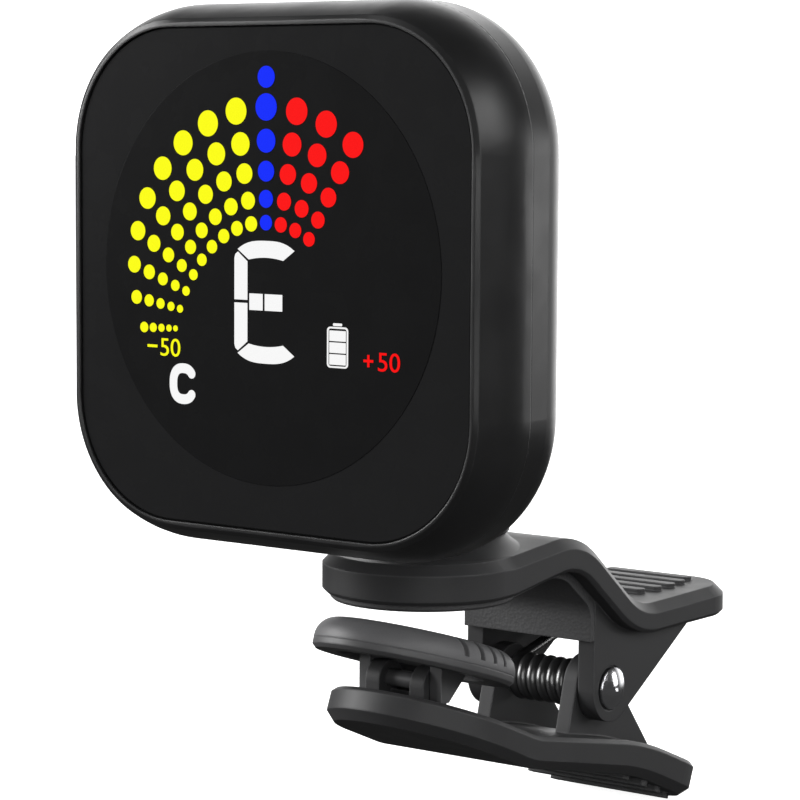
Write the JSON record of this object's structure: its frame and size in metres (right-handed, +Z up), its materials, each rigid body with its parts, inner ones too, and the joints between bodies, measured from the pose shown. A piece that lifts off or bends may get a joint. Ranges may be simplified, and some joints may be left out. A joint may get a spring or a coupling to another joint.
{
  "type": "clip-on instrument tuner",
  "caption": "Clip-on tuner: square display head on a tilting swivel arm, held by a spring clip with a padded upper jaw and a rocking lower pad.",
  "frame": {"origin": "middle of the round contact face of the clip's upper pad, which lies on the instrument", "axes": "+Z up out of the instrument through the upper jaw, +X across the clip, to the right when facing the display, +Y from the display towards the clip's thumb plates"},
  "size_m": [0.0514, 0.0708, 0.0848],
  "materials": {
    "clip_plastic": "fine spark-textured black plastic",
    "rocker_plastic": "fine matt dark grey plastic",
    "rocker_rubber": "soft matt dark grey rubber",
    "pad_rubber": "matt black rubber with a coarse grain",
    "polished_steel": "polished",
    "spring_steel": "black nickel",
    "plain_steel": "plain",
    "black_steel": "blackened",
    "nylon": "natural",
    "shell_plastic": "satin black",
    "window_glass": "gloss dark tinted",
    "mask_ink": "gloss black",
    "display_glass": "gloss black",
    "clear_acrylic": "clear",
    "white_plastic": "white",
    "board_green": "green solder mask",
    "chip_black": "moulded black",
    "cell_foil": "foil",
    "black_foam": "foam",
    "sensor_brass": "plain",
    "button_rubber": "matt"
  },
  "bodies": {
    "clip_top": {"upper_jaw": "clip_plastic", "upper_pad": "pad_rubber", "hinge_pin": "polished_steel", "pin_cap": "polished_steel", "torsion_spring": "spring_steel", "swivel_washer": "plain_steel"},
    "clip_bottom": {"lower_jaw": "clip_plastic"},
    "rocker": {"rocker_cover": "rocker_rubber", "rocker_frame": "rocker_plastic", "rocker_pin": "rocker_plastic"},
    "arm": {"swivel_arm": "clip_plastic", "swivel_screw": "plain_steel"},
    "head": {"tilt_pin": "plain_steel", "tilt_washers": "nylon", "front_shell": "shell_plastic", "rear_shell": "shell_plastic", "display_window": "window_glass", "window_gasket": "black_foam", "display_mask": "mask_ink", "lcd_panel": "display_glass", "light_guide": "clear_acrylic", "display_frame": "white_plastic", "circuit_board": "board_green", "board_chips": "chip_black", "battery": "cell_foil", "battery_tape": "black_foam", "battery_plug": "white_plastic", "vibration_sensor": "sensor_brass", "usb_socket": "plain_steel", "power_switch": "chip_black", "mode_switch": "chip_black", "shell_screws": "black_steel"},
    "power_button": {"power_button": "button_rubber"},
    "mode_button": {"mode_button": "button_rubber"}
  },
  "joints": [
    {"name": "jaw_hinge", "type": "hinge", "parent": "clip_top", "child": "clip_bottom", "pos_m": [0, 0.0224, -0.0117], "axis": [1, 0, 0], "range_deg": [0, 30], "stiffness_Nm_per_rad": 0.3, "springref_deg": -34.38, "deforming": ["torsion_spring"]},
    {"name": "rocker_tilt", "type": "hinge", "parent": "clip_bottom", "child": "rocker", "pos_m": [0, -0.0026, -0.00795], "axis": [1, 0, 0], "range_deg": [-1.5, 15]},
    {"name": "head_swivel", "type": "hinge", "parent": "clip_top", "child": "arm", "pos_m": [0, 0.0034, 0.0063], "axis": [0, 0, 1], "continuous": true},
    {"name": "head_tilt", "type": "hinge", "parent": "arm", "child": "head", "pos_m": [0, -0.0065, 0.0226], "axis": [1, 0, 0], "range_deg": [-35, 15]},
    {"name": "power_press", "type": "slide", "parent": "head", "child": "power_button", "axis": [0, -1, 0], "range_m": [0, 0.0004], "stiffness_N_per_m": 2500},
    {"name": "mode_press", "type": "slide", "parent": "head", "child": "mode_button", "axis": [0, -1, 0], "range_m": [0, 0.0004], "stiffness_N_per_m": 2500}
  ]
}
